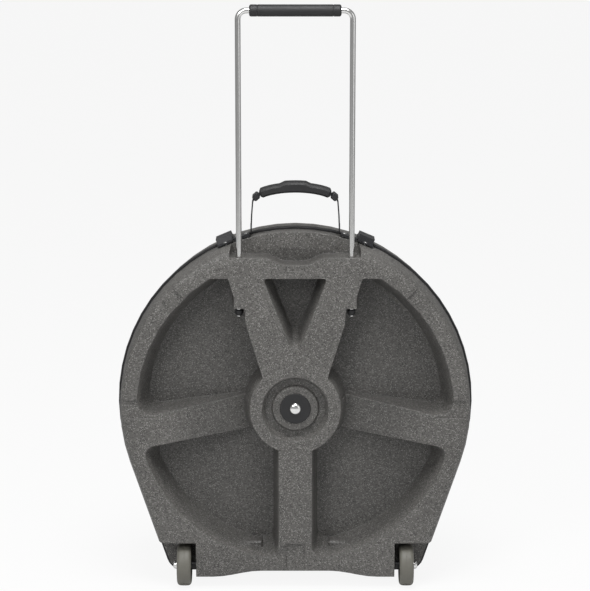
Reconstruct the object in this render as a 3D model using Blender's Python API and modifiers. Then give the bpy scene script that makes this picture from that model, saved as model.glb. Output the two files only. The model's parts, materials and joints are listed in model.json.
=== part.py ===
"""Trolley case for 22 inch cymbals: a ribbed back half on two wheels, a lift-off lid and a pull-out handle."""

import math

import bmesh
import bpy
from mathutils import Matrix, Vector

for old in list(bpy.data.objects):
    bpy.data.objects.remove(old, do_unlink=True)

mm = 0.001
gap = 0.3 * mm  # left between pieces that touch

# Case outline, seen from the back and measured from the hub
rim_radius = 318 * mm
side_slope = math.radians(18.5)
bottom_below_round = 5 * mm
bottom_arch = 11.5 * mm
arch_flat = 62 * mm
arch_foot = 150 * mm
corner_radius = 26 * mm
wall = 4.5 * mm

# Depths along Y, measured from the middle of the seam
seam_width = 10 * mm
base_depth = 74 * mm
lid_depth = 85 * mm
base_draft = 2.5 * mm
lid_draft = 4 * mm
edge_radius = 13 * mm

# Back half: sunk panels between ribs
panel_depth = 57 * mm
rim_band = 33 * mm
outer_draft = 19 * mm
rib_draft = 10 * mm
arm_draft = 4 * mm
hub_draft = 11 * mm
hub_ring = 82 * mm
crossbar_inset = 44.5 * mm
crossbar_height = 37 * mm
scoop_drop = 14 * mm
scoop_flat = 15 * mm
scoop_half = 56 * mm
vee_half = 57 * mm
vee_tip = 92 * mm
lower_rib_half = 30 * mm
ramp_inset = 23 * mm
ramp_depth = 47 * mm
groove_width = 34 * mm
groove_depth = 4 * mm
groove_angles = (0, 47.5, 90, 180, 270, 312.5)

# Hub dish and boss
dish_outer = 60 * mm
dish_floor_outer = 54 * mm
dish_floor_inner = 43 * mm
boss_radius = 40.5 * mm
dish_depth = 16 * mm
boss_depth = 10 * mm

# Recess for the retracted grip, between the rods
recess_half = 117 * mm
recess_depth = 47 * mm
recess_draft = 4 * mm

# Wheels and axle
wheel_radius = 38 * mm
wheel_width = 26 * mm
wheel_x = 203 * mm
wheel_depth = 51.5 * mm
core_radius = 22 * mm
axle_radius = 4 * mm
notch_inner = 181 * mm
notch_height = 71 * mm
notch_clearance = 2.5 * mm
cap_radius = 7.5 * mm
cap_length = 7 * mm

# Pull-out handle
rod_radius = 5 * mm
rod_x = 100 * mm
rod_inset = 13 * mm
bow_radius = 15 * mm
grip_rise = 436 * mm
grip_length = 160 * mm
grip_radius = 10.5 * mm
guide_radius = 6.3 * mm
guide_length = 90.5 * mm
stop_radius = 7.5 * mm
stop_length = 11 * mm
stop_gap = 3 * mm
ledge_inset = 28 * mm
ledge_inner = 60 * mm
ledge_outer = 118 * mm
ledge_height = 30 * mm

# Centre post
bolt_radius = 4 * mm
bolt_head_radius = 10.7 * mm
bolt_head_height = 5 * mm
outer_washer_radius = 27.7 * mm
outer_washer_thickness = 3 * mm
inner_washer_radius = 25 * mm
inner_washer_thickness = 2 * mm
nut_across = 13 * mm
nut_height = 6.5 * mm
sleeve_radius = 5.5 * mm
sleeve_end = 46 * mm
bolt_end = 60 * mm
felt_radius = 20 * mm
felt_thickness = 8 * mm
upper_felt = 37 * mm

# Foam
base_pad_inset = 30 * mm
base_pad_thickness = 7 * mm
lid_pad_inset = 56 * mm
lid_pad_thickness = 6 * mm
pad_hole = 12 * mm

# Lid front: shallow panels between six ribs
lid_hub = 66 * mm
lid_rim_band = 46 * mm
lid_panel_depth = 6 * mm
lid_panel_draft = 6 * mm
lid_rib_half = 17 * mm
lid_rib_count = 6

# Rubber rim seal
seal_proud = 4 * mm
seal_leg = 2.4 * mm
seal_base_reach = 1.2 * mm
seal_lid_reach = 6 * mm
seal_clearance = 0.8 * mm

# Side-release latches over the seam
latch_spacing = 1.6 * mm
latch_names = ("left", "right", "bottom")
latch_half = 14.5 * mm
latch_height = 13 * mm
socket_back = 17 * mm
socket_front = 7 * mm
plug_length = 15 * mm
tab_length = 12 * mm
tab_thickness = 2.6 * mm
slot_half = 11.5 * mm
slot_low = 6.8 * mm
slot_high = 11.2 * mm
prong_length = 15 * mm
prong_width = 5 * mm

# Rivets
rivet_head = 4 * mm
rivet_dome = 1.8 * mm
rivet_shank = 2 * mm
rivet_tail = 3.2 * mm
rivet_tail_length = 1.6 * mm

# Carry handle
strap_width = 20 * mm
strap_thickness = 2.4 * mm
strap_middle = 16 * mm
anchor_step = 16.1 * mm
anchor_half = 15 * mm
plate_thickness = 2 * mm
anchor_rivet_pitch = 18 * mm
strap_foot_x = 79 * mm
pivot_lift = 2 * mm
shoulder_x = 76 * mm
strap_rise = 50 * mm
handle_arch = 25 * mm
wrap_half = 63 * mm
wrap_width = 30 * mm
wrap_thickness = 15 * mm
wrap_raise = 3.5 * mm
wrap_raise_half = 21 * mm
keeper_width = 26 * mm
keeper_thickness = 11 * mm
keeper_start = 65 * mm
keeper_end = 74.5 * mm

# Rubber feet under the lid
foot_x = 170 * mm
foot_inset = 33 * mm
foot_radius = 16 * mm
foot_stem = 4 * mm

# Sizes that follow from the ones above
bottom_drop = rim_radius + bottom_below_round
panel_radius = rim_radius - rim_band
crossbar_low = panel_radius - crossbar_inset
crossbar_top = crossbar_low + crossbar_height
guide_end = crossbar_top - 1 * mm - guide_length
grip_height = crossbar_top + grip_rise
ramp_start = panel_radius - ramp_inset
ledge_top = panel_radius - ledge_inset
notch_top = bottom_drop - notch_height
base_pad_radius = rim_radius - base_pad_inset
lid_pad_radius = rim_radius - lid_pad_inset
lid_panel_radius = rim_radius - lid_rim_band
pivot_height = rim_radius + pivot_lift
shoulder_height = pivot_height + strap_rise
handle_top = shoulder_height + handle_arch
foot_y = lid_depth - foot_inset
anchor_angle = math.degrees(math.asin((strap_foot_x + anchor_step) / rim_radius))
latch_angle = anchor_angle + math.degrees((anchor_half + latch_half + latch_spacing) / rim_radius)
latch_angles = (-latch_angle, latch_angle, 180)

# The wheels stand on z = 0, and the depth is centred on y = 0
ground_clearance = 15.5 * mm
hub_z = bottom_drop + ground_clearance
axle_z = wheel_radius
seam_y = (wheel_depth + wheel_radius - lid_depth) / 2
face_y = seam_y - base_depth
base_edge = seam_y - seam_width / 2
lid_edge = seam_y + seam_width / 2
lid_face = seam_y + lid_depth
axle_y = seam_y - wheel_depth
rod_y = face_y + rod_inset
boss_y = face_y + boss_depth
panel_inside = face_y + panel_depth + wall
strap_y = seam_y - strap_middle

parts = bpy.data.collections.new("cymbal_case")
cutters = bpy.data.collections.new("cutters")
bpy.context.scene.collection.children.link(parts)
bpy.context.scene.collection.children.link(cutters)


def finish(name, colour, roughness, metallic=0.0):
    material = bpy.data.materials.new(name)
    material.use_nodes = True
    shader = material.node_tree.nodes["Principled BSDF"]
    shader.inputs["Base Color"].default_value = (*colour, 1)
    shader.inputs["Roughness"].default_value = roughness
    shader.inputs["Metallic"].default_value = metallic
    return material


granite = finish("granite_polyethylene", (0.155, 0.15, 0.145), 0.6)
black_rubber = finish("black_rubber", (0.012, 0.012, 0.013), 0.7)
black_plastic = finish("black_plastic", (0.016, 0.016, 0.018), 0.4)
chrome = finish("chrome", (0.62, 0.62, 0.61), 0.18, 1.0)
zinc = finish("zinc_plate", (0.5, 0.5, 0.48), 0.35, 1.0)
olive_tyre = finish("olive_tyre", (0.16, 0.155, 0.125), 0.55)
webbing = finish("black_webbing", (0.015, 0.015, 0.017), 0.85)
foam = finish("grey_foam", (0.05, 0.05, 0.055), 0.95)
felt = finish("grey_felt", (0.12, 0.12, 0.12), 0.95)


def place(obj, material, collection=parts):
    collection.objects.link(obj)
    if material:
        obj.data.materials.append(material)
    return obj


def as_cutter(obj):
    obj.hide_render = True
    obj.display_type = "WIRE"
    return obj


def move(obj, matrix):
    obj.matrix_world = matrix
    return obj


def about_hub(angle):
    """Turns a piece made above the hub round the hub's axis, clockwise from the back, in degrees."""
    return (
        Matrix.Translation((0, seam_y, hub_z))
        @ Matrix.Rotation(math.radians(angle), 4, "Y")
    )


def smooth(mesh, angle=35):
    mesh.shade_smooth()
    mesh.set_sharp_from_angle(angle=math.radians(angle))


def loft(name, loops, material=None, collection=parts, ring=False):
    """Bridges loops of equal count; the ends are capped, or a ring joins its last loop to its first."""
    build = bmesh.new()
    rows = [[build.verts.new(point) for point in loop] for loop in loops]
    count = len(rows[0])
    pairs = list(zip(rows, rows[1:] + rows[:1] if ring else rows[1:]))
    for near, far in pairs:
        for i in range(count):
            j = (i + 1) % count
            build.faces.new((near[i], near[j], far[j], far[i]))
    if not ring:
        build.faces.new(rows[0])
        build.faces.new(rows[-1])
    bmesh.ops.recalc_face_normals(build, faces=build.faces)
    mesh = bpy.data.meshes.new(name)
    build.to_mesh(mesh)
    build.free()
    smooth(mesh)
    return place(bpy.data.objects.new(name, mesh), material, collection)


def box(name, low, high, material=None, collection=parts):
    build = bmesh.new()
    bmesh.ops.create_cube(build, size=1)
    size = [b - a for a, b in zip(low, high)]
    middle = [(a + b) / 2 for a, b in zip(low, high)]
    bmesh.ops.scale(build, vec=size, verts=build.verts)
    bmesh.ops.translate(build, vec=middle, verts=build.verts)
    mesh = bpy.data.meshes.new(name)
    build.to_mesh(mesh)
    build.free()
    return place(bpy.data.objects.new(name, mesh), material, collection)


def rounded(obj, width, segments=2, limit=50):
    bevel = obj.modifiers.new("edges", "BEVEL")
    bevel.width = width
    bevel.segments = segments
    bevel.limit_method = "ANGLE"
    bevel.angle_limit = math.radians(limit)
    return obj


def turned(name, profile, matrix, material=None, steps=24, closed=False, collection=parts):
    """A profile of (radius, height) turned round its own Z axis; it runs down its outer side."""
    mesh = bpy.data.meshes.new(name)
    edges = [(i, i + 1) for i in range(len(profile) - 1)]
    if closed:
        edges.append((len(profile) - 1, 0))
    mesh.from_pydata([(r, 0, h) for r, h in profile], edges, [])
    obj = place(bpy.data.objects.new(name, mesh), material, collection)
    screw = obj.modifiers.new("turn", "SCREW")
    screw.steps = steps
    screw.render_steps = steps
    screw.use_merge_vertices = True
    screw.merge_threshold = 0.00001
    return move(obj, matrix)


# The drafted panels have slightly twisted flanks, which the EXACT solver fails on
twisted = ("back_cavity", "lid_cavity", "base_shell", "lid_shell")


def boolean(obj, other, operation="DIFFERENCE"):
    modifier = obj.modifiers.new(other.name, "BOOLEAN")
    modifier.operation = operation
    modifier.solver = "MANIFOLD" if obj.name in twisted else "EXACT"
    modifier.object = other
    return obj


def cut(obj, *tools):
    for tool in tools:
        boolean(obj, as_cutter(tool))
    return obj


def join(obj, *others):
    for other in others:
        boolean(obj, as_cutter(other), "UNION")
    return obj


def along_y(x, y, z):
    """Stands a turned piece's own Z axis along world Y, its foot towards the back."""
    return Matrix.Translation((x, y, z)) @ Matrix.Rotation(-math.pi / 2, 4, "X")


def along_x(x, y, z, side=1):
    """Lays a turned piece's own Z axis along world X, outwards on the given side."""
    return Matrix.Translation((x, y, z)) @ Matrix.Rotation(side * math.pi / 2, 4, "Y")


def disc(radius, low, high):
    return [(0, high), (radius, high), (radius, low), (0, low)]


def tube(inner, outer, low, high):
    return [(outer, high), (outer, low), (inner, low), (inner, high)]


def inset(corners, amounts):
    """Moves each edge of a loop inwards by its own amount, mitred where edges meet."""
    count = len(corners)
    area = sum(
        corners[i][0] * corners[(i + 1) % count][1] - corners[(i + 1) % count][0] * corners[i][1]
        for i in range(count)
    )
    turn = 1 if area > 0 else -1
    lines = []
    for i in range(count):
        (ax, az), (bx, bz) = corners[i], corners[(i + 1) % count]
        length = math.hypot(bx - ax, bz - az)
        normal = (-(bz - az) / length * turn, (bx - ax) / length * turn)
        lines.append((normal, normal[0] * ax + normal[1] * az + amounts[i]))
    moved = []
    for i in range(count):
        (n, c), (m, d) = lines[i - 1], lines[i]
        across = n[0] * m[1] - n[1] * m[0]
        if abs(across) < 1e-6:
            x, z = corners[i]
            moved.append((x + m[0] * amounts[i], z + m[1] * amounts[i]))
        else:
            moved.append(((c * m[1] - d * n[1]) / across, (n[0] * d - m[0] * c) / across))
    return moved


def fillet(corners, radii, steps=3):
    """Rounds each corner that has a radius; a corner without one keeps its single point."""
    points = []
    count = len(corners)
    for i in range(count):
        if not radii[i]:
            points.append(corners[i])
            continue
        corner = Vector(corners[i])
        before = (Vector(corners[i - 1]) - corner).normalized()
        after = (Vector(corners[(i + 1) % count]) - corner).normalized()
        half = before.angle(after) / 2
        reach = radii[i] / math.tan(half)
        centre = corner + (before + after).normalized() * (radii[i] / math.sin(half))
        start = corner + before * reach - centre
        sweep = start.angle_signed(corner + after * reach - centre)
        for k in range(steps + 1):
            turned_by = Matrix.Rotation(-sweep * k / steps, 2)
            points.append(tuple(centre + turned_by @ start))
    return points


def arc(radius, start, end, steps):
    """Points on a circle about the hub, in degrees anticlockwise from +X as the back is seen."""
    angles = [math.radians(start + (end - start) * k / steps) for k in range(steps + 1)]
    return [(radius * math.cos(a), radius * math.sin(a)) for a in angles]


def wave(half_flat, half_reach, low, high, steps=5):
    """A smooth step from the low middle out to the high ends, left to right."""
    side = []
    for k in range(steps + 1):
        share = k / steps
        rise = (1 - math.cos(math.pi * share)) / 2
        side.append((half_flat + (half_reach - half_flat) * share, low + (high - low) * rise))
    return [(-x, z) for x, z in reversed(side)] + side


def case_corners():
    """The case's outline at the seam: a circle, two slanting sides and an arched bottom."""
    slope = math.degrees(side_slope)
    top = arc(rim_radius, -slope, 180 + slope, 36)
    start_x, start_z = top[-1]
    low_x = start_x + (start_z + bottom_drop) * math.tan(side_slope)
    bottom = wave(arch_flat, arch_foot, bottom_arch - bottom_drop, -bottom_drop)
    corners = top + [(low_x, -bottom_drop)] + bottom + [(-low_x, -bottom_drop)]
    radii = [0] * len(top) + [corner_radius] + [0] * len(bottom) + [corner_radius]
    return corners, radii


def case_loop(offset, y):
    corners, radii = case_corners()
    shrunk = inset(corners, [offset] * len(corners))
    radii = [max(radius - offset, wall) if radius else 0 for radius in radii]
    return [(x, y, hub_z + z) for x, z in fillet(shrunk, radii, 5)]


def case_body(name, edge_y, face, draft, offset=0.0, **place_at):
    """A drafted body of the outline with a round outer edge, from the seam's edge to its face."""
    out = 1 if face > edge_y else -1
    round_radius = edge_radius - offset
    loops = [case_loop(offset, edge_y)]
    for k in range(3):
        turn = math.pi / 2 * k / 2
        inward = draft + round_radius * (1 - math.cos(turn))
        loops.append(case_loop(offset + inward, face - out * round_radius * (1 - math.sin(turn))))
    return loft(name, loops, **place_at)


def sunk(name, corners, drafts, radii, depth, face, extra=0.0, slope=None, open_by=3 * mm):
    """A drafted pocket cutter: its loop shrinks with depth; extra grows it by a wall all round."""
    into = 1 if face < seam_y else -1
    loops = []
    for level in (-open_by, depth + extra):
        share = level / depth
        moved = inset(corners, [draft * share - extra for draft in drafts])
        softened = [max(radius + extra, 1 * mm) if radius else 0 for radius in radii]
        loop = fillet(moved, softened)
        if slope and level > 0:
            loops.append([(x, face + slope(x) + extra, hub_z + z) for x, z in loop])
        else:
            loops.append([(x, face + into * level, hub_z + z) for x, z in loop])
    return loft(name, loops, collection=cutters)


def mirrored(corners):
    return [(-x, z) for x, z in corners]


def ring_arc(radius, start, end, steps, draft):
    """An arc's corners with the draft and the radius that each of its edges takes."""
    points = arc(radius, start, end, steps)
    return [(point, draft, 0) for point in points[:-1]] + [(points[-1], None, 0)]


def panel(pieces):
    """Splits (corner, draft of the edge that follows, fillet radius) rows into three lists."""
    last = None
    drafts = []
    for _, draft, _ in pieces:
        last = draft if draft is not None else last
        drafts.append(last)
    return [p for p, _, _ in pieces], drafts, [r for _, _, r in pieces]


# Rib lines in the hub's frame: (outer x, its height, height at the hub)
spoke_reach = panel_radius - 15 * mm
spoke_top = (-spoke_reach, -14 * mm, 11 * mm)
spoke_low = (-spoke_reach, -71 * mm, -37 * mm)


def on_spoke(line, x):
    outer, at_outer, at_hub = line
    share = (x - outer) / (-hub_ring - outer)
    return at_outer + (at_hub - at_outer) * share


def angle_of(x, z):
    return math.degrees(math.atan2(z, x))


def where_circle(line, radius):
    """The point where a spoke's edge meets a circle about the hub, on the left side."""
    near, far = -radius, -radius / 2
    for _ in range(40):
        middle = (near + far) / 2
        if math.hypot(middle, on_spoke(line, middle)) > radius:
            near = middle
        else:
            far = middle
    return near, on_spoke(line, near)


def upper_panel():
    arm_meets = (-58 * mm, math.sqrt(hub_ring**2 - (58 * mm) ** 2))
    hub_low = where_circle(spoke_top, hub_ring)
    outer_low = where_circle(spoke_top, panel_radius)
    start = angle_of(-math.sqrt(panel_radius**2 - crossbar_low**2), crossbar_low)
    low_angle = angle_of(*outer_low) % 360
    rows = ring_arc(panel_radius, low_angle, start, 7, outer_draft)
    rows[0] = (rows[0][0], outer_draft, 20 * mm)
    rows[-1] = (rows[-1][0], 0, 0)
    boss_x = rod_x + guide_radius + 3 * mm
    rows += [
        ((-boss_x - 10 * mm, crossbar_low), arm_draft, 3 * mm),
        ((-boss_x, crossbar_low - 34 * mm), arm_draft, 0),
        ((-boss_x, guide_end), 1 * mm, 0),
        ((-rod_x + stop_radius + 2 * mm, guide_end), 3 * mm, 0),
        ((-rod_x + stop_radius + 4 * mm, guide_end - 28 * mm), 3 * mm, 0),
    ]
    rows += ring_arc(hub_ring, angle_of(*arm_meets), angle_of(*hub_low) % 360, 5, hub_draft)
    rows[-1] = (rows[-1][0], rib_draft, 0)
    return panel(rows)


def lower_panel():
    hub_top = where_circle(spoke_low, hub_ring)
    outer_top = where_circle(spoke_low, panel_radius)
    hub_bottom = (-lower_rib_half, -math.sqrt(hub_ring**2 - lower_rib_half**2))
    outer_bottom = (-lower_rib_half, -math.sqrt(panel_radius**2 - lower_rib_half**2))
    rows = ring_arc(
        panel_radius, angle_of(*outer_bottom) % 360, angle_of(*outer_top) % 360, 8, outer_draft
    )
    rows[0] = (rows[0][0], outer_draft, 20 * mm)
    rows[-1] = (rows[-1][0], rib_draft, 16 * mm)
    rows += ring_arc(hub_ring, angle_of(*hub_top) % 360, angle_of(*hub_bottom) % 360, 5, hub_draft)
    rows[-1] = (rows[-1][0], rib_draft, 0)
    return panel(rows)


def vee_panel():
    rows = [
        ((-vee_half, crossbar_low), 0, 4 * mm),
        ((vee_half, crossbar_low), rib_draft, 4 * mm),
        ((0, vee_tip), rib_draft, 11 * mm),
    ]
    return panel(rows)


def handle_recess():
    low = wave(scoop_flat, scoop_half, crossbar_top - scoop_drop, crossbar_top)
    top = rim_radius + 30 * mm
    rows = [((recess_half, crossbar_top), recess_draft, 4 * mm), ((recess_half, top), 0, 0)]
    rows += [((-recess_half, top), recess_draft, 0), ((-recess_half, crossbar_top), 0, 4 * mm)]
    return panel(rows + [(point, 0, 0) for point in low])


def spoke_ramp():
    """The region over a side rib that is cut away towards the hub, so that a rod can pass."""
    wide = rib_draft + 4 * mm
    outer = ramp_start + 6 * mm
    high = on_spoke(spoke_top, -hub_ring) + wide
    low = on_spoke(spoke_low, -hub_ring) - wide
    start = angle_of(-math.sqrt(hub_ring**2 - high**2), high) % 360
    end = angle_of(-math.sqrt(hub_ring**2 - low**2), low) % 360
    rows = [
        ((-outer, on_spoke(spoke_low, -outer) - wide), 0, 0),
        ((-outer, on_spoke(spoke_top, -outer) + wide), 0, 0),
    ]
    rows += ring_arc(hub_ring, start, end, 5, hub_draft)
    rows[-1] = (rows[-1][0], 0, 0)
    return panel(rows)


def ramp_left(x):
    return ramp_depth * (x + ramp_start) / (ramp_start - hub_ring)


def ramp_right(x):
    return ramp_left(-x)


def back_cuts(tag, extra=0.0):
    """Every pocket of the back half, or the same pockets grown by a wall for the cavity."""
    tools = []
    sides = (("left", list, ramp_left), ("right", mirrored, ramp_right))
    for side, flip, ramp in sides:
        for label, (corners, drafts, radii) in (
            ("upper", upper_panel()),
            ("lower", lower_panel()),
        ):
            tools.append(
                sunk(f"{tag}_{label}_{side}", flip(corners), drafts, radii, panel_depth, face_y, extra)
            )
        corners, drafts, radii = spoke_ramp()
        tools.append(
            sunk(f"{tag}_ramp_{side}", flip(corners), drafts, radii, ramp_depth, face_y, extra, ramp)
        )
    tools.append(sunk(f"{tag}_vee", *vee_panel(), panel_depth, face_y, extra))
    tools.append(sunk(f"{tag}_recess", *handle_recess(), recess_depth, face_y, extra))
    notch_floor = axle_y + wheel_radius + notch_clearance + extra
    for side in (-1, 1):
        ends = sorted((side * (notch_inner - extra), side * (rim_radius + 20 * mm)))
        tools.append(
            box(
                f"{tag}_notch_{side}",
                (ends[0], face_y - 40 * mm, -30 * mm),
                (ends[1], notch_floor, hub_z - notch_top + extra),
                collection=cutters,
            )
        )
    for angle in groove_angles:
        groove = box(
            f"{tag}_groove_{angle}",
            (-groove_width / 2 - extra, -base_depth - 5 * mm, panel_radius - outer_draft - 12 * mm),
            (groove_width / 2 + extra, -base_depth + groove_depth + extra, rim_radius + 40 * mm),
            collection=cutters,
        )
        tools.append(move(groove, about_hub(angle)))
    dish = [
        (0, boss_depth + extra),
        (boss_radius - extra / 2, boss_depth + extra),
        (dish_floor_inner - extra, dish_depth + extra),
        (dish_floor_outer + extra, dish_depth + extra),
        (dish_outer + extra, 0),
        (dish_outer + extra, -5 * mm),
        (0, -5 * mm),
    ]
    tools.append(
        turned(f"{tag}_dish", dish, along_y(0, face_y, hub_z), steps=28, collection=cutters)
    )
    return tools


def rivet_hole(name, angle, y, x, low):
    bore = rivet_shank + gap
    hole = turned(
        name, disc(bore, low - 12 * mm, low + 12 * mm), Matrix(), steps=12, collection=cutters
    )
    return move(hole, about_hub(angle) @ Matrix.Translation((x, y - seam_y, 0)))


def surface(angle):
    """The outline's distance from the hub where a latch sits."""
    return bottom_drop - bottom_arch if angle == 180 else rim_radius


tab_rivet = (socket_back + tab_length / 2, socket_front + plug_length + tab_length / 2)
anchor_rows = [
    (side, slot) for side in (-1, 1) for slot in (-anchor_rivet_pitch / 2, anchor_rivet_pitch / 2)
]


def base_shell():
    cavity = case_body(
        "back_cavity", base_edge + 2 * mm, face_y + wall, base_draft, wall, collection=cutters
    )
    cut(cavity, *back_cuts("inner", wall))
    base = case_body("base_shell", base_edge, face_y, base_draft, material=granite)
    cut(base, cavity, *back_cuts("outer"))
    for side in (-1, 1):
        x = side * rod_x
        bore = disc(guide_radius + gap, guide_end - 8 * mm, crossbar_top + 14 * mm)
        cut(
            base,
            turned(
                f"rod_bore_{side}", bore, Matrix.Translation((x, rod_y, hub_z)), steps=20,
                collection=cutters,
            ),
        )
        ends = sorted((side * ledge_inner, side * ledge_outer))
        floor = face_y + panel_depth
        ledge = box(
            f"rod_ledge_{side}",
            (ends[0], floor - ledge_height, hub_z - panel_radius + 4 * mm),
            (ends[1], floor + 1 * mm, hub_z - ledge_top),
            collection=cutters,
        )
        join(base, rounded(ledge, 3 * mm, 1))
    axle_hole = disc(axle_radius + gap, -wheel_x, wheel_x)
    cut(
        base,
        turned("axle_hole", axle_hole, along_x(0, axle_y, axle_z), steps=16, collection=cutters),
        turned(
            "bolt_hole",
            disc(bolt_radius + gap, -10 * mm, 10 * mm),
            along_y(0, boss_y, hub_z),
            steps=16,
            collection=cutters,
        ),
    )
    for label, angle in zip(latch_names, latch_angles):
        cut(base, rivet_hole(f"socket_hole_{label}", angle, seam_y - tab_rivet[0], 0, surface(angle)))
    for side, slot in anchor_rows:
        hole = rivet_hole("anchor_hole", side * anchor_angle, strap_y, slot, rim_radius)
        cut(base, hole)
    return base


def lid_panels(tag, extra=0.0):
    """Six shallow front panels between radial ribs."""
    tools = []
    for k in range(lid_rib_count):
        sector = 360 / lid_rib_count
        start = 90 + k * sector
        rows = []
        for radius, order in ((lid_panel_radius, 1), (lid_hub, -1)):
            lean = math.degrees(math.asin(lid_rib_half / radius))
            ends = (start + lean, start + sector - lean)[::order]
            rows += ring_arc(radius, *ends, 8 if order == 1 else 3, lid_panel_draft)
            rows[-1] = (rows[-1][0], lid_panel_draft, 12 * mm)
            first = -9 if order == 1 else -4
            rows[first] = (rows[first][0], lid_panel_draft, 12 * mm)
        tools.append(
            sunk(f"{tag}_front_{k}", *panel(rows), lid_panel_depth, lid_face, extra, open_by=2 * mm)
        )
    return tools


def lid_shell():
    cavity = case_body(
        "lid_cavity", lid_edge - 2 * mm, lid_face - wall, lid_draft, wall, collection=cutters
    )
    cut(cavity, *lid_panels("inner", wall))
    lid = case_body("lid_shell", lid_edge, lid_face, lid_draft, material=granite)
    cut(lid, cavity, *lid_panels("outer"))
    for label, angle in zip(latch_names, latch_angles):
        cut(lid, rivet_hole(f"plug_hole_{label}", angle, seam_y + tab_rivet[1], 0, surface(angle)))
    for side in (-1, 1):
        at = Matrix.Translation((side * foot_x, seam_y + foot_y, hub_z - bottom_drop))
        bore = disc(foot_stem + gap, -15 * mm, 15 * mm)
        cut(lid, turned(f"foot_hole_{side}", bore, at, steps=16, collection=cutters))
    return lid


def rim_seal():
    """A T-shaped rubber strip: a proud body in the seam, with one leg inside each half."""
    inside = wall + seal_clearance
    deep = inside + seal_leg
    body = seam_width / 2 - gap
    profile = [
        (-seal_proud + 1 * mm, -body),
        (-seal_proud, -body + 1 * mm),
        (-seal_proud, body - 1 * mm),
        (-seal_proud + 1 * mm, body),
        (inside, body),
        (inside, body + seal_lid_reach),
        (deep, body + seal_lid_reach),
        (deep, -body - seal_base_reach),
        (inside, -body - seal_base_reach),
        (inside, -body),
    ]
    loops = [case_loop(offset, seam_y + y) for offset, y in profile]
    loft("rim_seal", loops, black_rubber, ring=True)


def wheels():
    seat = wheel_width / 2
    notch_side = notch_inner + gap
    for side, label in ((-1, "left"), (1, "right")):
        centre = along_x(side * wheel_x, axle_y, axle_z, side)
        tyre = [
            (wheel_radius - 4 * mm, seat),
            (wheel_radius, seat - 6 * mm),
            (wheel_radius, -seat + 6 * mm),
            (wheel_radius - 4 * mm, -seat),
            (core_radius + gap, -seat),
            (core_radius + gap, seat),
        ]
        turned(f"wheel_tyre_{label}", tyre, centre, olive_tyre, 28, closed=True)
        core = [
            (core_radius, seat - 1 * mm),
            (core_radius, -seat + 1 * mm),
            (axle_radius + 4 * mm, -seat + 1 * mm),
            (axle_radius + 4 * mm, -seat),
            (axle_radius + gap, -seat),
            (axle_radius + gap, seat),
            (axle_radius + 4 * mm, seat),
            (axle_radius + 4 * mm, seat - 4 * mm),
            (core_radius - 4 * mm, seat - 4 * mm),
            (core_radius - 4 * mm, seat - 1 * mm),
        ]
        turned(f"wheel_core_{label}", core, centre, black_plastic, 16, closed=True)
        inner_face = wheel_x - seat - gap
        spacer = tube(axle_radius + gap, axle_radius + 3.5 * mm, 0, inner_face - notch_side)
        turned(
            f"wheel_spacer_{label}", spacer, along_x(side * notch_side, axle_y, axle_z, side),
            black_plastic, 12, closed=True,
        )
        cap = [
            (0, cap_length),
            (cap_radius - 3 * mm, cap_length),
            (cap_radius - 0.6 * mm, cap_length - 2 * mm),
            (cap_radius, cap_length - 4.5 * mm),
            (cap_radius, 0),
            (axle_radius + gap, 0),
            (axle_radius + gap, cap_length - 2.5 * mm),
            (0, cap_length - 2.5 * mm),
        ]
        outer_face = wheel_x + seat + gap
        turned(
            f"axle_cap_{label}", cap, along_x(side * outer_face, axle_y, axle_z, side), chrome, 12
        )
    reach = wheel_x + seat + gap + cap_length - 2.5 * mm - gap
    turned("axle", disc(axle_radius, -reach, reach), along_x(0, axle_y, axle_z), zinc, 16)


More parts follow.
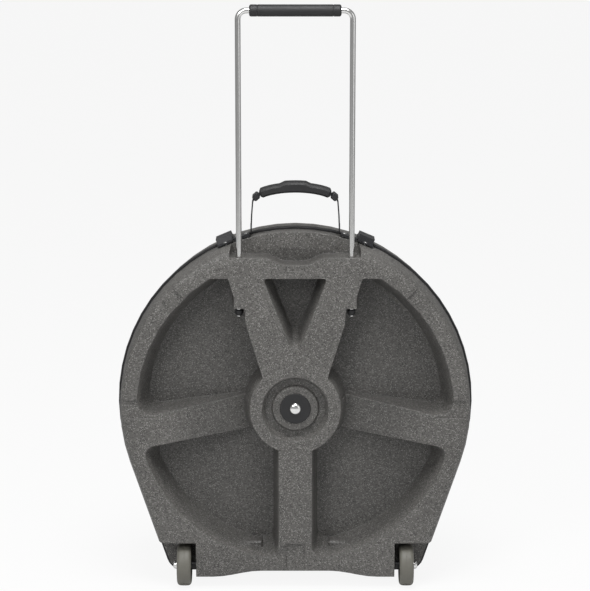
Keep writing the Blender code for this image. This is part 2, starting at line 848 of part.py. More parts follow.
def trolley_handle():
    """A bent steel rod with a sleeve on its cross run and a stop on each end."""
    top = hub_z + grip_height
    stop_top = hub_z + guide_end - stop_gap
    rod_end = stop_top - stop_length + 2 * mm
    curve = bpy.data.curves.new("trolley_bow", "CURVE")
    curve.dimensions = "3D"
    curve.bevel_depth = rod_radius
    curve.bevel_resolution = 3
    curve.use_fill_caps = True
    points = [(-rod_x, rod_end)]
    for side in (-1, 1):
        start, end = (180, 90) if side < 0 else (90, 0)
        bend = arc(bow_radius, start, end, 5)
        centre_x = side * (rod_x - bow_radius)
        points += [(centre_x + x, top - bow_radius + z) for x, z in bend]
    points.append((rod_x, rod_end))
    line = curve.splines.new("POLY")
    line.points.add(len(points) - 1)
    for point, (x, z) in zip(line.points, points):
        point.co = (x, rod_y, z, 1)
    bow = bpy.data.objects.new("trolley_bow", curve)
    place(bow, chrome)
    half = grip_length / 2
    sleeve = [(grip_radius - 2.5 * mm, half), (grip_radius - 0.7 * mm, half - 1 * mm)]
    sleeve += [(grip_radius, half - 3 * mm), (grip_radius, -half + 3 * mm)]
    sleeve += [(grip_radius - 0.7 * mm, -half + 1 * mm), (grip_radius - 2.5 * mm, -half)]
    sleeve += [(rod_radius + gap, -half), (rod_radius + gap, half)]
    turned("grip_sleeve", sleeve, along_x(0, rod_y, top), black_rubber, 16, closed=True)
    for side, label in ((-1, "left"), (1, "right")):
        x = side * rod_x
        guide = tube(rod_radius + gap, guide_radius, guide_end, crossbar_top - 1 * mm)
        turned(
            f"rod_guide_{label}", guide, Matrix.Translation((x, rod_y, hub_z)), black_plastic, 12,
            closed=True,
        )
        stop = [
            (stop_radius - 1.5 * mm, 0),
            (stop_radius, -2 * mm),
            (stop_radius, -stop_length + 3.5 * mm),
            (stop_radius - 2.5 * mm, -stop_length),
            (2.5 * mm, -stop_length),
            (2.5 * mm, -stop_length + 2 * mm - gap),
            (rod_radius + gap, -stop_length + 2 * mm - gap),
            (rod_radius + gap, 0),
        ]
        at = Matrix.Translation((x, rod_y, stop_top))
        turned(f"rod_stop_{label}", stop, at, black_rubber, 12, closed=True)
        screw = [
            (0, -stop_length + 1.4 * mm),
            (2 * mm, -stop_length + 1.4 * mm),
            (2 * mm, -stop_length - gap),
            (4 * mm, -stop_length - gap),
            (4 * mm, -stop_length - 1.6 * mm),
            (2.6 * mm, -stop_length - 2.6 * mm),
            (0, -stop_length - 2.9 * mm),
        ]
        turned(f"rod_screw_{label}", screw, at, chrome, 10)


def wing_nut(y):
    """A round nut with two upright wings."""
    nut = turned(
        "wing_nut",
        [
            (7.5 * mm, 0),
            (6 * mm, -9 * mm),
            (bolt_radius + gap, -9 * mm),
            (bolt_radius + gap, 0),
        ],
        along_y(0, y + 9 * mm, hub_z),
        zinc,
        14,
        closed=True,
    )
    for side in (-1, 1):
        rows = [(5 * mm, -7 * mm), (18 * mm, -2 * mm), (21 * mm, 5 * mm), (15 * mm, 7 * mm)]
        rows += [(6.5 * mm, 1 * mm - gap)]
        loops = [[(side * a, b, h) for a, h in rows] for b in (-1.5 * mm, 1.5 * mm)]
        wing = loft(f"wing_{side}", loops, collection=cutters)
        move(wing, along_y(0, y + 9 * mm, hub_z))
        join(nut, wing)
    return nut


def centre_post():
    washer_y = boss_y - outer_washer_thickness
    hole = bolt_radius + gap
    turned(
        "bolt_washer_outer",
        [
            (outer_washer_radius - 0.6 * mm, -gap),
            (outer_washer_radius, -0.9 * mm),
            (outer_washer_radius, -outer_washer_thickness + 0.6 * mm),
            (outer_washer_radius - 0.8 * mm, -outer_washer_thickness),
            (hole, -outer_washer_thickness),
            (hole, -gap),
        ],
        along_y(0, boss_y, hub_z),
        black_rubber,
        24,
        closed=True,
    )
    head_y = washer_y - gap
    shank = bolt_radius
    length = seam_y + bolt_end - head_y
    dome = []
    for k in range(5):
        turn = math.pi / 2 * k / 4
        dome.append((bolt_head_radius * math.cos(turn), -bolt_head_height * math.sin(turn)))
    dome[-1] = (0, -bolt_head_height)
    profile = [(0, length), (shank - 1 * mm, length), (shank, length - 1 * mm), (shank, 0)] + dome
    turned("centre_bolt", profile, along_y(0, head_y, hub_z), chrome, 16)
    inner = boss_y + wall + gap
    turned(
        "bolt_washer_inner",
        tube(hole, inner_washer_radius, 0, inner_washer_thickness),
        along_y(0, inner, hub_z), zinc, 20, closed=True,
    )
    nut_y = inner + inner_washer_thickness + gap
    across = nut_across / math.sqrt(3)
    flats = hole / math.cos(math.pi / 6)
    turned("bolt_nut", tube(flats, across, 0, nut_height), along_y(0, nut_y, hub_z), zinc, 6, closed=True)
    sleeve_y = nut_y + nut_height + gap
    turned(
        "post_sleeve",
        tube(hole, sleeve_radius, 0, seam_y + sleeve_end - sleeve_y),
        along_y(0, sleeve_y, hub_z), black_plastic, 14, closed=True,
    )
    pad_top = panel_inside + gap + base_pad_thickness
    for label, y in (("lower", pad_top + gap), ("upper", seam_y + upper_felt)):
        ring = [
            (felt_radius, felt_thickness - 1 * mm),
            (felt_radius, 1 * mm),
            (felt_radius - 1 * mm, 0),
            (sleeve_radius + gap, 0),
            (sleeve_radius + gap, felt_thickness),
            (felt_radius - 1 * mm, felt_thickness),
        ]
        turned(f"felt_{label}", ring, along_y(0, y, hub_z), felt, 18, closed=True)
    wing_nut(seam_y + sleeve_end + gap)


def pads():
    pad_y = panel_inside + gap
    ring = tube(pad_hole, base_pad_radius, 0, base_pad_thickness)
    turned("base_pad", ring, along_y(0, pad_y, hub_z), foam, 40, closed=True)
    lid_y = lid_face - lid_panel_depth - wall - gap - lid_pad_thickness
    sheet = [(0, lid_pad_thickness), (lid_pad_radius, lid_pad_thickness)]
    sheet += [(lid_pad_radius, 0), (0, 0)]
    turned("lid_pad", sheet, along_y(0, lid_y, hub_z), foam, 40)


def side_shape(name, outline, half, material, angle, low, collection=parts):
    """Extrudes a side view (y, height over the shell) across a latch."""
    loops = [[(t, y, low + h) for y, h in outline] for t in (-half, half)]
    return move(loft(name, loops, material, collection), about_hub(angle))


def latches():
    lift = 0.6 * mm
    over_seal = seal_proud + 0.6 * mm
    for label, angle in zip(latch_names, latch_angles):
        low = surface(angle)
        body = seam_width / 2 + 0.7 * mm
        top = latch_height
        socket_view = [
            (-socket_back - tab_length, lift),
            (-socket_back - tab_length, lift + tab_thickness),
            (-socket_back, lift + tab_thickness),
            (-socket_back + 3 * mm, top),
            (socket_front, top),
            (socket_front, over_seal),
            (-body, over_seal),
            (-body, lift),
        ]
        socket = side_shape(
            f"latch_socket_{label}", socket_view, latch_half, black_plastic, angle, low
        )
        slot = box(
            f"latch_slot_{label}",
            (-slot_half, -prong_length + socket_front - 3 * mm, low + slot_low),
            (slot_half, socket_front + 5 * mm, low + slot_high),
            collection=cutters,
        )
        cut(socket, move(slot, about_hub(angle)))
        start = socket_front + gap
        end = start + plug_length
        plug_view = [
            (start, lift),
            (start, top),
            (end - 3 * mm, top),
            (end, lift + tab_thickness),
            (end + tab_length, lift + tab_thickness),
            (end + tab_length, lift),
        ]
        plug = side_shape(f"latch_plug_{label}", plug_view, latch_half, black_plastic, angle, low)
        slack = 0.4 * mm
        for side in (-1, 1):
            ends = sorted((side * (slot_half - slack), side * (slot_half - slack - prong_width)))
            prong = box(
                f"prong_{label}_{side}",
                (ends[0], socket_front - prong_length, low + slot_low + slack),
                (ends[1], start + 3 * mm, low + slot_high - slack),
                collection=cutters,
            )
            join(plug, move(prong, about_hub(angle)))
        for part, piece, y in (("socket", socket, -tab_rivet[0]), ("plug", plug, tab_rivet[1])):
            cut(piece, rivet_hole(f"{part}_tab_hole_{label}", angle, seam_y + y, 0, low))
            rivet(f"rivet_{part}_{label}", angle, seam_y + y, 0, low, lift + tab_thickness)


def rivet(name, angle, y, x, low, top):
    """A domed rivet whose tail is set against the inside of the shell."""
    seat = top + gap
    tail = -wall - lid_draft - 1 * mm
    profile = [
        (0, seat + rivet_dome),
        (rivet_head * 0.6, seat + rivet_dome * 0.8),
        (rivet_head, seat + 0.2 * mm),
        (rivet_head, seat),
        (rivet_shank, seat),
        (rivet_shank, tail + rivet_tail_length),
        (rivet_tail, tail + rivet_tail_length),
        (rivet_tail, tail),
        (0, tail),
    ]
    at = about_hub(angle) @ Matrix.Translation((x, y - seam_y, low))
    turned(name, profile, at, chrome, 8)


def handle_path(steps=6):
    """The webbing's middle line above its pivots, left to right, in the hub's frame."""
    side = []
    for k in range(steps + 1):
        share = k / steps
        x = shoulder_x * math.cos(math.pi / 2 * share)
        z = shoulder_height + (handle_top - shoulder_height) * math.sin(math.pi / 2 * share)
        side.append((x, z))
    right = [(strap_foot_x, pivot_height), (strap_foot_x - 1 * mm, pivot_height + strap_rise / 2)] + side
    return [(-x, z) for x, z in right[:-1]] + right[::-1]


def ribbon(name, path, half_thick, half_wide, material=None, collection=parts):
    """Carries a flat section along a path in the XZ plane."""
    loops = []
    for i, (x, z) in enumerate(path):
        ahead = Vector(path[min(i + 1, len(path) - 1)])
        along = (ahead - Vector(path[max(i - 1, 0)])).normalized()
        nx, nz = -along.y, along.x
        up, down = half_thick(x) if callable(half_thick) else (half_thick, half_thick)
        corners = ((up, -half_wide), (up, half_wide), (-down, half_wide), (-down, -half_wide))
        loops.append([(x + nx * t, strap_y + w, hub_z + z + nz * t) for t, w in corners])
    return loft(name, loops, material, collection)


def hang(obj, hinge):
    """Parents a piece to the empty on its hinge axis and leaves it where it is."""
    obj.parent = hinge
    obj.matrix_parent_inverse = Matrix.Translation(hinge.location).inverted()


def carry_handle():
    path = handle_path()
    half = strap_thickness / 2
    strap = ribbon("handle_strap", path, half, strap_width / 2, webbing)
    for side in (-1, 1):
        at = along_x(side * strap_foot_x, strap_y, hub_z + pivot_height)
        join(
            strap,
            turned(f"strap_end_{side}", disc(strap_width / 2, -half, half), at, steps=14,
                   collection=cutters),
        )
    slot = ribbon("wrap_slot", path, half + gap, strap_width / 2 + gap, collection=cutters)

    def wrap_half_thickness(x):
        blend = min(max((wrap_raise_half + 4 * mm - abs(x)) / (4 * mm), 0), 1)
        return wrap_thickness / 2 + wrap_raise * blend, wrap_thickness / 2

    arch = []
    for k in range(15):
        x = -wrap_half + 2 * wrap_half * k / 14
        rise = math.sqrt(1 - (x / shoulder_x) ** 2)
        arch.append((x, shoulder_height + (handle_top - shoulder_height) * rise))
    wrap = ribbon("handle_wrap", arch, wrap_half_thickness, wrap_width / 2, black_rubber)
    cut(rounded(wrap, 3.5 * mm, 1), slot)
    hinge = bpy.data.objects.new("carry_handle_hinge", None)
    parts.objects.link(hinge)
    hinge.location = (0, strap_y, hub_z + pivot_height)
    hang(strap, hinge)
    hang(wrap, hinge)
    for side, label in ((-1, "left"), (1, "right")):
        ends = []
        for x in (keeper_start, keeper_end):
            rise = math.sqrt(1 - (x / shoulder_x) ** 2)
            ends.append((side * x, shoulder_height + (handle_top - shoulder_height) * rise))
        keeper = ribbon(
            f"handle_keeper_{label}", ends, keeper_thickness / 2, keeper_width / 2, black_plastic
        )
        cut(rounded(keeper, 2 * mm, 1), slot)
        hang(keeper, hinge)
        foot_and_plate(side, label)


def foot_and_plate(side, label):
    """The webbing's riveted end and the plate that clamps it to the shell."""
    angle = side * anchor_angle
    low = rim_radius
    lift = 0.5 * mm
    layers = (
        ("handle_foot", lift, strap_thickness, webbing),
        ("anchor_plate", lift + strap_thickness + gap, plate_thickness, black_plastic),
    )
    for kind, bottom, thickness, material in layers:
        piece = box(
            f"{kind}_{label}",
            (-anchor_half, strap_y - seam_y - strap_width / 2, low + bottom),
            (anchor_half, strap_y - seam_y + strap_width / 2, low + bottom + thickness),
            material,
        )
        move(piece, about_hub(angle))
        for slot in (-anchor_rivet_pitch / 2, anchor_rivet_pitch / 2):
            cut(piece, rivet_hole(f"{kind}_hole_{label}", angle, strap_y, slot, low))
    top = lift + strap_thickness + gap + plate_thickness
    for end, slot in (("inner", -side), ("outer", side)):
        x = slot * anchor_rivet_pitch / 2
        rivet(f"rivet_anchor_{label}_{end}", angle, strap_y, x, low, top)


def feet():
    height = hub_z - bottom_drop
    for side, label in ((-1, "left"), (1, "right")):
        profile = [
            (0, height + wall + 8 * mm),
            (foot_stem + 1.5 * mm, height + wall + 4 * mm),
            (foot_stem, height + wall + 4 * mm),
            (foot_stem, height - gap),
            (foot_radius - 3 * mm, height - gap),
            (foot_radius, 3 * mm),
            (foot_radius - 1.5 * mm, 0),
            (0, 0),
        ]
        at = Matrix.Translation((side * foot_x, seam_y + foot_y, 0))
        turned(f"foot_{label}", profile, at, black_rubber, 14)


base_shell()
lid_shell()
rim_seal()
wheels()
trolley_handle()
centre_post()
pads()
latches()
carry_handle()
feet()
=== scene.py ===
import json
import math

import bmesh
import bpy
import numpy as np
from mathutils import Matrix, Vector


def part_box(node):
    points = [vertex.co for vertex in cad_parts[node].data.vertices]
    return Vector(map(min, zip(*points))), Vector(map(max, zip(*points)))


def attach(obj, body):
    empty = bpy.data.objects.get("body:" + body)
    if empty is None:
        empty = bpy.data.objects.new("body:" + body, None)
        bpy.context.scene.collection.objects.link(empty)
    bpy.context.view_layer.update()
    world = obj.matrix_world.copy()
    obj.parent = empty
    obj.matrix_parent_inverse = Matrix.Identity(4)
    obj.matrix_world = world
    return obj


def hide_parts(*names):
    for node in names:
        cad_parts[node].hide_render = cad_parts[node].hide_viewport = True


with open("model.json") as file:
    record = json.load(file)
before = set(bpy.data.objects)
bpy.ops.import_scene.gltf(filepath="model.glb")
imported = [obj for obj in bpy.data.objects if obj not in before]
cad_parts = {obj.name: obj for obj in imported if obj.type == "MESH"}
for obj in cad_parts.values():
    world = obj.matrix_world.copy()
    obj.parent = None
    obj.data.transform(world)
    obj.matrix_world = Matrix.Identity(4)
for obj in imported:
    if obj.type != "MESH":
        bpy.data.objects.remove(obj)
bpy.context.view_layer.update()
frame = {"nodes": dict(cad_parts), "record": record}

bodies = frame["record"]["behaviour"]["bodies"]
bodyOf = {node: body for body, nodes in bodies.items() for node in nodes}
slotOf = {row["node"]: row["material_slot"] for row in frame["record"]["subparts"]}
print("frame loaded:", len(bodyOf), "nodes")


class Wire:
    # one socket whose arithmetic adds Math nodes
    def __init__(self, maker, socket):
        self.maker, self.socket = maker, socket

    def math(self, operation, *others):
        return self.maker.add("ShaderNodeMath", {"operation": operation}, dict(enumerate((self, *others))))

    def __add__(self, other): return self.math("ADD", other)
    def __radd__(self, other): return self.math("ADD", other)
    def __sub__(self, other): return self.math("SUBTRACT", other)
    def __mul__(self, other): return self.math("MULTIPLY", other)
    def __rmul__(self, other): return self.math("MULTIPLY", other)
    def above(self, edge): return self.math("GREATER_THAN", edge)

    def __rsub__(self, other):
        return self.maker.add("ShaderNodeMath", {"operation": "SUBTRACT"}, {0: other, 1: self})

    def step(self, low, high):  # 0 below low, 1 above high, smooth between
        return self.maker.add("ShaderNodeMapRange", {"interpolation_type": "SMOOTHSTEP"},
                              {"Value": self, "From Min": low, "From Max": high})


class Maker:
    # builds one material's node tree
    def __init__(self, name):
        self.material = bpy.data.materials.new(name)
        self.material.use_nodes = True
        self.tree = self.material.node_tree
        self.shader = self.tree.nodes["Principled BSDF"]
        self.place = self.add("ShaderNodeTexCoord", output="Object")

    def put(self, socket, value):
        if isinstance(value, Wire):
            self.tree.links.new(value.socket, socket)
        elif isinstance(value, tuple) and len(value) == 3 and socket.type == "RGBA":
            socket.default_value = (*value, 1)
        else:
            socket.default_value = value

    def add(self, kind, settings=None, values=None, output=0):
        node = self.tree.nodes.new(kind)
        for key, value in (settings or {}).items():
            setattr(node, key, value)
        for key, value in (values or {}).items():
            self.put(node.inputs[key], value)
        return Wire(self, node.outputs[output])

    def noise(self, scale, detail, rough=0.5):
        return self.add("ShaderNodeTexNoise", None,
                        {"Vector": self.place, "Scale": scale, "Detail": detail, "Roughness": rough})

    def cells(self, scale, output):
        return self.add("ShaderNodeTexVoronoi", None, {"Vector": self.place, "Scale": scale}, output)

    def mix(self, share, first, second):
        node = self.tree.nodes.new("ShaderNodeMix")
        node.data_type = "RGBA"
        for index, value in ((0, share), (6, first), (7, second)):
            self.put(node.inputs[index], value)
        return Wire(self, node.outputs[2])

    def bump(self, height, distance, strength, roundEdge=0.0):
        values = {"Height": height, "Distance": distance, "Strength": strength}
        if roundEdge:
            values["Normal"] = self.add("ShaderNodeBevel", {"samples": 6}, {"Radius": roundEdge})
        return self.add("ShaderNodeBump", None, values)

    def finish(self, **values):
        names = {"colour": "Base Color", "rough": "Roughness", "metal": "Metallic", "normal": "Normal"}
        for key, value in values.items():
            self.put(self.shader.inputs[names[key]], value)
        return self.material


def toned(colour, share, lift=0.0):
    return tuple(c * share + lift for c in colour)


# Speckled moulded plastic of the two shells: pale and dark flecks, soft clouds and scuffs
shellLook = {
    "base": (0.096, 0.0925, 0.087), "light": (0.3, 0.294, 0.281), "dark": (0.012, 0.0117, 0.011),
    "speck": 520.0, "lightFrom": 0.70, "darkTo": 0.28, "lightShare": 0.8, "darkShare": 0.85,
    "lightDot": (0.28, 0.55), "darkDot": (0.30, 0.60),
    "grainRatio": 1.7, "grainEdges": (0.3, 0.75), "grainShare": 0.5, "grainTone": 1.35,
    "cloud": 9.0, "cloudEdges": (0.35, 0.7), "cloudTones": (0.9, 1.1),
    "scuff": 38.0, "scuffEdges": (0.62, 0.75), "scuffShare": 0.18, "scuffTone": 1.8,
    "peel": 210.0, "peelShare": 0.7, "peelHeight": 0.0005, "peelStrength": 0.5, "edge": 0.0025,
    "rough": 0.43, "roughCloud": 0.14, "roughScuff": 0.1,
}
# Where the sunk panels are painted darker as shade: from the ribs' face in to their floor, and out to their
# round wall
sunkShadeLook = {"face": -0.0675, "floor": -0.045, "back": -0.01, "hub": 0.3385,
            "reach": 0.288, "blur": 0.004, "keep": 0.7}


def graniteFinish(look, sunk):
    make = Maker("graniteShell")
    pick = make.add("ShaderNodeSeparateColor", None, {0: make.cells(look["speck"], "Color")})
    dot = make.cells(look["speck"], "Distance")
    grain = make.noise(look["speck"] * look["grainRatio"], 2, 0.6)
    light = pick.above(look["lightFrom"]) * (1 - dot.step(*look["lightDot"]))
    dark = (1 - pick.above(look["darkTo"])) * (1 - dot.step(*look["darkDot"]))
    cloud = make.noise(look["cloud"], 3)
    tones = [toned(look["base"], share) for share in look["cloudTones"]]
    body = make.mix(cloud.step(*look["cloudEdges"]), *tones)
    grainy = grain.step(*look["grainEdges"]) * look["grainShare"]
    body = make.mix(grainy, body, toned(look["base"], look["grainTone"]))
    body = make.mix(light * look["lightShare"], body, look["light"])
    body = make.mix(dark * look["darkShare"], body, look["dark"])
    scuff = make.noise(look["scuff"], 6, 0.7).step(*look["scuffEdges"])
    body = make.mix(scuff * look["scuffShare"], body, toned(look["base"], look["scuffTone"]))
    # painted shade: the sunk panels are darkened towards black below the proud ribs
    across, depth, high = (make.add("ShaderNodeSeparateXYZ", None, {0: make.place}, i) for i in range(3))
    high = high - sunk["hub"]
    reach = (across * across + high * high).math("SQRT")
    outside = reach.step(sunk["reach"] - sunk["blur"], sunk["reach"] + sunk["blur"])
    inside = (1 - outside) * (1 - depth.above(sunk["back"]))
    paintedShade = depth.step(sunk["face"], sunk["floor"]) * inside
    # painted shade mixed into the colour of the sunk panels
    body = make.mix(paintedShade * (1 - sunk["keep"]), body, (0.0, 0.0, 0.0))
    peel = make.noise(look["peel"], 2) * look["peelShare"] + grain * (1 - look["peelShare"])
    rough = cloud * look["roughCloud"] + look["rough"] + scuff * look["roughScuff"]
    return make.finish(colour=body, rough=rough,
                       normal=make.bump(peel, look["peelHeight"], look["peelStrength"], look["edge"]))


# Plain moulded finishes: colour, roughness, grains in a metre, grain height and edge rounding
plainLooks = {
    "black_rubber": {"colour": (0.011, 0.011, 0.012), "rough": 0.55, "grain": 900.0,
                     "height": 0.0001, "edge": 0.0008},
    "black_plastic": {"colour": (0.014, 0.014, 0.016), "rough": 0.38, "grain": 1400.0,
                      "height": 0.00008, "edge": 0.0007},
    "tyre": {"colour": (0.122, 0.118, 0.1), "rough": 0.5, "grain": 500.0,
             "height": 0.0001, "edge": 0.001},
    "foam": {"colour": (0.05, 0.05, 0.055), "rough": 0.95, "grain": 700.0,
             "height": 0.0008, "edge": 0.002},
    "felt": {"colour": (0.13, 0.13, 0.135), "rough": 0.97, "grain": 1500.0,
             "height": 0.0006, "edge": 0.0015},
}
plainWear = {"grainShare": 0.35, "grainTone": 1.5, "grainLift": 0.002, "strength": 0.7,
             "dust": 26.0, "dustEdges": (0.45, 0.8), "dustShare": 0.12, "dustTone": 0.8,
             "dustLift": 0.05, "roughDust": 0.12}


def plainFinish(name, look, wear):
    make = Maker(name)
    grain = make.noise(look["grain"], 3, 0.6)
    dust = make.noise(wear["dust"], 5, 0.65).step(*wear["dustEdges"])
    pale = toned(look["colour"], wear["grainTone"], wear["grainLift"])
    dusty = toned(look["colour"], wear["dustTone"], wear["dustLift"])
    colour = make.mix(grain * wear["grainShare"], look["colour"], pale)
    colour = make.mix(dust * wear["dustShare"], colour, dusty)
    return make.finish(colour=colour, rough=look["rough"] + dust * wear["roughDust"],
                       normal=make.bump(grain, look["height"], wear["strength"], look["edge"]))


# Plated and bare metal, a little smeared by hands
metalLooks = {"chrome": {"colour": (0.82, 0.82, 0.81), "rough": 0.15},
              "zinc": {"colour": (0.5, 0.5, 0.47), "rough": 0.29}}
metalWear = {"smear": 60.0, "smearEdges": (0.4, 0.7), "smearShare": 0.4, "smearTone": 0.82,
             "roughSmear": 0.12, "fleck": 900.0, "height": 0.00003, "strength": 0.4, "edge": 0.0005}


def metalFinish(name, look, wear):
    make = Maker(name)
    smear = make.noise(wear["smear"], 5, 0.7)
    fleck = make.noise(wear["fleck"], 2)
    smeared = smear.step(*wear["smearEdges"]) * wear["smearShare"]
    colour = make.mix(smeared, look["colour"], toned(look["colour"], wear["smearTone"]))
    return make.finish(colour=colour, metal=1.0, rough=smear * wear["roughSmear"] + look["rough"],
                       normal=make.bump(fleck, wear["height"], wear["strength"], wear["edge"]))


# Woven strap: ribs both ways under a fine fuzz
webLook = {"colour": (0.016, 0.016, 0.018), "tone": 2.4, "toneShare": 0.5, "ribs": 520.0, "waver": 0.3,
           "across": 0.8, "fuzz": 1900.0, "fuzzShare": 0.3, "rough": 0.8, "roughFuzz": 0.1,
           "height": 0.0003, "strength": 0.8}


def webFinish(look):
    make = Maker("webbingWeave")
    fold = {"Vector": make.place, "Scale": look["ribs"], "Distortion": look["waver"]}
    along = make.add("ShaderNodeTexWave", {"bands_direction": "Y"}, fold, "Fac")
    across = make.add("ShaderNodeTexWave", {"bands_direction": "Z"}, fold, "Fac")
    fuzz = make.noise(look["fuzz"], 3)
    weave = along.math("MAXIMUM", across * look["across"]) + fuzz * look["fuzzShare"]
    colour = make.mix(weave * look["toneShare"], look["colour"], toned(look["colour"], look["tone"]))
    return make.finish(colour=colour, rough=look["rough"] + fuzz * look["roughFuzz"],
                       normal=make.bump(weave, look["height"], look["strength"]))


finishes = {"shell": graniteFinish(shellLook, sunkShadeLook), "webbing": webFinish(webLook)}
for name, look in plainLooks.items():
    finishes[name] = plainFinish(name + "Finish", look, plainWear)
for name, look in metalLooks.items():
    finishes[name] = metalFinish(name + "Finish", look, metalWear)
print("finishes made:", len(finishes))

# Edges sharper than these angles stay crisp, on the solids' copies and on the new pieces
smoothLook = {"solidAngle": 32.0, "gridAngle": 40.0, "weld": 0.00002}


def showPiece(name, mesh, node):
    piece = bpy.data.objects.new(name, mesh)
    bpy.context.scene.collection.objects.link(piece)
    mesh.materials.clear()
    mesh.materials.append(finishes[slotOf[node]])
    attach(piece, bodyOf[node])
    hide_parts(node)
    return piece


def smoothCopy(node):
    # the solid itself, welded and shaded smooth
    build = bmesh.new()
    build.from_mesh(frame["nodes"][node].data)
    bmesh.ops.remove_doubles(build, verts=build.verts, dist=smoothLook["weld"])
    mesh = bpy.data.meshes.new(node + "Smooth")
    build.to_mesh(mesh)
    build.free()
    if "custom_normal" in mesh.attributes:  # the loaded corner normals no longer fit the welded corners
        mesh.attributes.remove(mesh.attributes["custom_normal"])
    mesh.shade_smooth()
    mesh.set_sharp_from_angle(angle=math.radians(smoothLook["solidAngle"]))
    return showPiece(node + "Smooth", mesh, node)


def gridMesh(name, points, loopRows=False):
    # rows by columns of points, closed round the columns, and round the rows or else capped
    rows, cols = points.shape[:2]
    index = np.arange(rows * cols).reshape(rows, cols)
    index = np.concatenate([index, index[:, :1]], axis=1)
    if loopRows:
        index = np.concatenate([index, index[:1]], axis=0)
    corners = [index[:-1, :-1], index[:-1, 1:], index[1:, 1:], index[1:, :-1]]
    mesh = bpy.data.meshes.new(name)
    mesh.from_pydata(points.reshape(-1, 3).tolist(), [], np.stack(corners, axis=-1).reshape(-1, 4).tolist())
    build = bmesh.new()
    build.from_mesh(mesh)
    if not loopRows:
        bmesh.ops.holes_fill(build, edges=build.edges, sides=0)
    bmesh.ops.recalc_face_normals(build, faces=build.faces)
    build.to_mesh(mesh)
    build.free()
    mesh.shade_smooth()
    mesh.set_sharp_from_angle(angle=math.radians(smoothLook["gridAngle"]))
    return mesh


def turnedGrid(profile, centre, steps):
    # radius times the cosine and sine of the turn about X, while the place along X stays
    profile = np.asarray(profile, float)
    turn = np.linspace(0, 2 * math.pi, steps, endpoint=False)
    along = Vector((1, 0, 0))
    first = along.orthogonal().normalized()
    second = along.cross(first)
    ring = np.cos(turn)[None, :, None] * np.array(first) + np.sin(turn)[None, :, None] * np.array(second)
    return profile[:, :1, None] * ring + profile[:, 1][:, None, None] * np.array(along) + np.array(centre)


def middleAndSize(node):
    low, high = (np.array(corner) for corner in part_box(node))
    return (low + high) / 2, high - low


# Wheel tyre: a round-crowned ring with a fine mould line round its middle
tyreLook = {"crown": 0.0035, "crownShare": 0.35, "line": 0.00035, "lineWidth": 0.03,
            "shoulder": 0.0055, "shoulderFrom": 0.55, "shoulderWidth": 0.45, "shoulderTurn": 0.98,
            "bore": 0.0223, "wallDrop": 0.009, "wallFoot": 0.0095, "wallDish": 0.0006,
            "lip": 0.002, "lipDish": 0.0012, "rows": 31, "steps": 96}


def tyre(node):
    # the tread falls with the square of the way across, then as a quarter circle at the shoulders
    look = tyreLook
    centre, size = middleAndSize(node)
    half, outer = size[0] / 2, size[2] / 2
    across = np.linspace(-1, 1, look["rows"])
    bend = np.clip((np.abs(across) - look["shoulderFrom"]) / look["shoulderWidth"], 0, 1)
    crown = outer - look["crown"] * across**2 * look["crownShare"]
    crown = crown - look["shoulder"] * (1 - np.sqrt(1 - bend**2 * look["shoulderTurn"]))
    crown = crown - look["line"] * np.exp(-((across / look["lineWidth"]) ** 2))
    tread = np.stack([crown, across * half], axis=1)
    dish = half - look["wallDish"]
    side = np.array([[outer - look["wallDrop"], half], [outer - look["wallFoot"], dish],
                     [look["bore"] + look["lip"], dish], [look["bore"], half - look["lipDish"]]])
    rows = np.concatenate([tread, side, side[::-1] * np.array([1, -1])])
    mesh = gridMesh(node, turnedGrid(rows, centre, look["steps"]), True)
    return showPiece(node + "Crowned", mesh, node)


# Pull-out grip: a rubber sleeve with two faint joint lines and rounded ends
gripLook = {"bore": 0.0053, "jointAt": 0.066, "jointDepth": 0.0007, "jointWidth": 0.0006,
            "endRound": 0.0035, "endTurn": 0.97, "rows": 161, "steps": 48}


def gripSleeve(node):
    # a straight sleeve less a quarter circle at its ends and two narrow bell-shaped grooves
    look = gripLook
    centre, size = middleAndSize(node)
    half, outer = size[0] / 2, size[2] / 2
    along = np.linspace(-half, half, look["rows"])
    near = np.clip((np.abs(along) - (half - look["endRound"])) / look["endRound"], 0, 1)
    radius = outer - look["endRound"] * (1 - np.sqrt(1 - near**2 * look["endTurn"]))
    groove = (np.abs(along) - look["jointAt"]) / look["jointWidth"]
    radius = radius - look["jointDepth"] * np.exp(-(groove**2))
    skin = np.stack([radius, along], axis=1)
    rows = np.concatenate([skin, [[look["bore"], half]], [[look["bore"], -half]]])
    mesh = gridMesh(node, turnedGrid(rows, centre, look["steps"]), True)
    return showPiece("gripSleeveFine", mesh, node)


# Bow handle: a round rod carried up one side, round two bends and down the other
bowLook = {"halfWidth": 0.1, "bend": 0.015, "foot": 0.002, "sides": 24, "bendSteps": 14}


def bowRod(node):
    # a circle square to the path, along straight legs joined by quarter circles
    look = bowLook
    low, high = (np.array(corner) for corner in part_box(node))
    x, bend = look["halfWidth"], look["bend"]
    radius = (high[0] - low[0]) / 2 - x
    y, top, foot = (low[1] + high[1]) / 2, high[2] - radius, low[2] + look["foot"]
    turn = np.linspace(0, math.pi / 2, look["bendSteps"])
    leftX, leftZ = -x + bend - bend * np.cos(turn), top - bend + bend * np.sin(turn)
    pathX = np.concatenate([[-x] * 2, leftX, -leftX[::-1], [x] * 2])
    pathZ = np.concatenate([[low[2], foot], leftZ, leftZ[::-1], [foot, low[2]]])
    path = np.stack([pathX, np.full_like(pathX, y), pathZ], axis=1)
    along = np.gradient(path, axis=0)
    along /= np.linalg.norm(along, axis=1, keepdims=True)
    flat = np.cross(along, (0, 1, 0))
    angle = np.linspace(0, 2 * math.pi, look["sides"], endpoint=False)
    ring = np.cos(angle)[None, :, None] * flat[:, None, :]
    ring = ring + np.sin(angle)[None, :, None] * np.array((0, 1, 0))
    return showPiece("bowRodFine", gridMesh(node, path[:, None, :] + radius * ring), node)


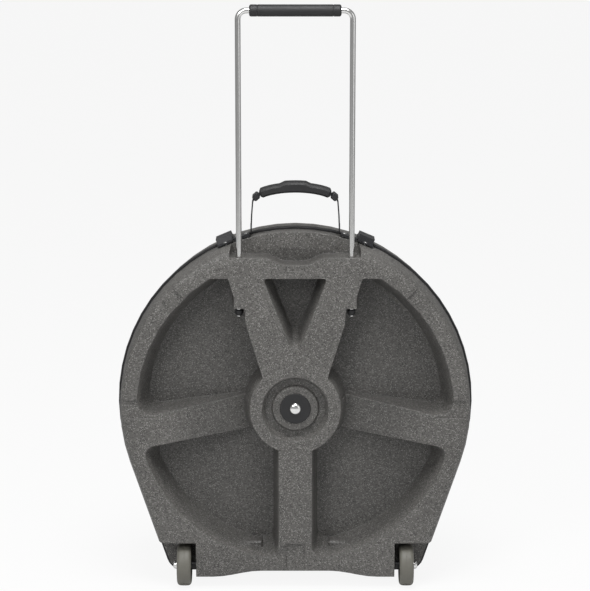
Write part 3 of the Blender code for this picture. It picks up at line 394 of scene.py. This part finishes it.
newPieces = {"wheel_tyre_left": tyre, "wheel_tyre_right": tyre, "grip_sleeve": gripSleeve,
             "trolley_bow": bowRod}
for node in frame["nodes"]:
    newPieces.get(node, smoothCopy)(node)
print("pieces shown")

# Pale floor that stays near white to the camera and keeps the shadow
studio = {"floor": (0.8, 0.8, 0.8), "floorRough": 0.9, "floorSize": 80, "glow": 0.9, "sky": 0.3}
bpy.ops.mesh.primitive_plane_add(size=studio["floorSize"], location=(0, 0, 0))
floor = bpy.context.object
floor.name = "paleFloor"
make = Maker("paleFloor")
make.finish(colour=studio["floor"], rough=studio["floorRough"])
seen = make.add("ShaderNodeLightPath", output="Is Camera Ray")
white = make.add("ShaderNodeEmission", None, {"Color": (1, 1, 1), "Strength": 1.0})
blend = make.add("ShaderNodeMixShader", None,
                 {0: seen * studio["glow"], 1: Wire(make, make.shader.outputs[0]), 2: white})
make.tree.links.new(blend.socket, make.tree.nodes["Material Output"].inputs["Surface"])
floor.data.materials.append(make.material)

world = bpy.data.worlds.new("paleSky")
bpy.context.scene.world = world
world.use_nodes = True
world.node_tree.nodes["Background"].inputs[0].default_value = (1, 1, 1, 1)
world.node_tree.nodes["Background"].inputs[1].default_value = studio["sky"]

lamps = {
    "topLamp": {"power": 62.0, "size": 1.4, "place": (0.1, -1.0, 2.9), "aim": (0, 0, 0.35)},
    "keyLamp": {"power": 34.0, "size": 1.2, "place": (-1.5, -2.6, 2.3), "aim": (0, 0, 0.35)},
    "fillLamp": {"power": 14.0, "size": 2.4, "place": (2.8, -2.4, 1.4), "aim": (0, 0, 0.4)},
}


def turnTo(obj, place, aim):
    obj.location = place
    obj.rotation_euler = (Vector(aim) - Vector(place)).to_track_quat("-Z", "Y").to_euler()
    bpy.context.scene.collection.objects.link(obj)


for name, look in lamps.items():
    lamp = bpy.data.lights.new(name, "AREA")
    lamp.energy, lamp.size = look["power"], look["size"]
    turnTo(bpy.data.objects.new(name, lamp), look["place"], look["aim"])

# The photograph's view: a long lens a little above, looking down
view = {"pitch": 12.7, "distance": 4.0, "aim": (-0.0005, -0.07175, 0.5491),
        "lens": 137.3, "sensor": 36, "farClip": 200}
pitch = math.radians(view["pitch"])
lens = bpy.data.cameras.new("backView")
lens.lens, lens.sensor_width, lens.clip_end = view["lens"], view["sensor"], view["farClip"]
camera = bpy.data.objects.new("backView", lens)
back = Vector((0, -math.cos(pitch), math.sin(pitch)))
turnTo(camera, Vector(view["aim"]) + view["distance"] * back, view["aim"])
bpy.context.scene.camera = camera
bpy.context.scene.view_settings.view_transform = "Standard"
print("studio and camera placed")
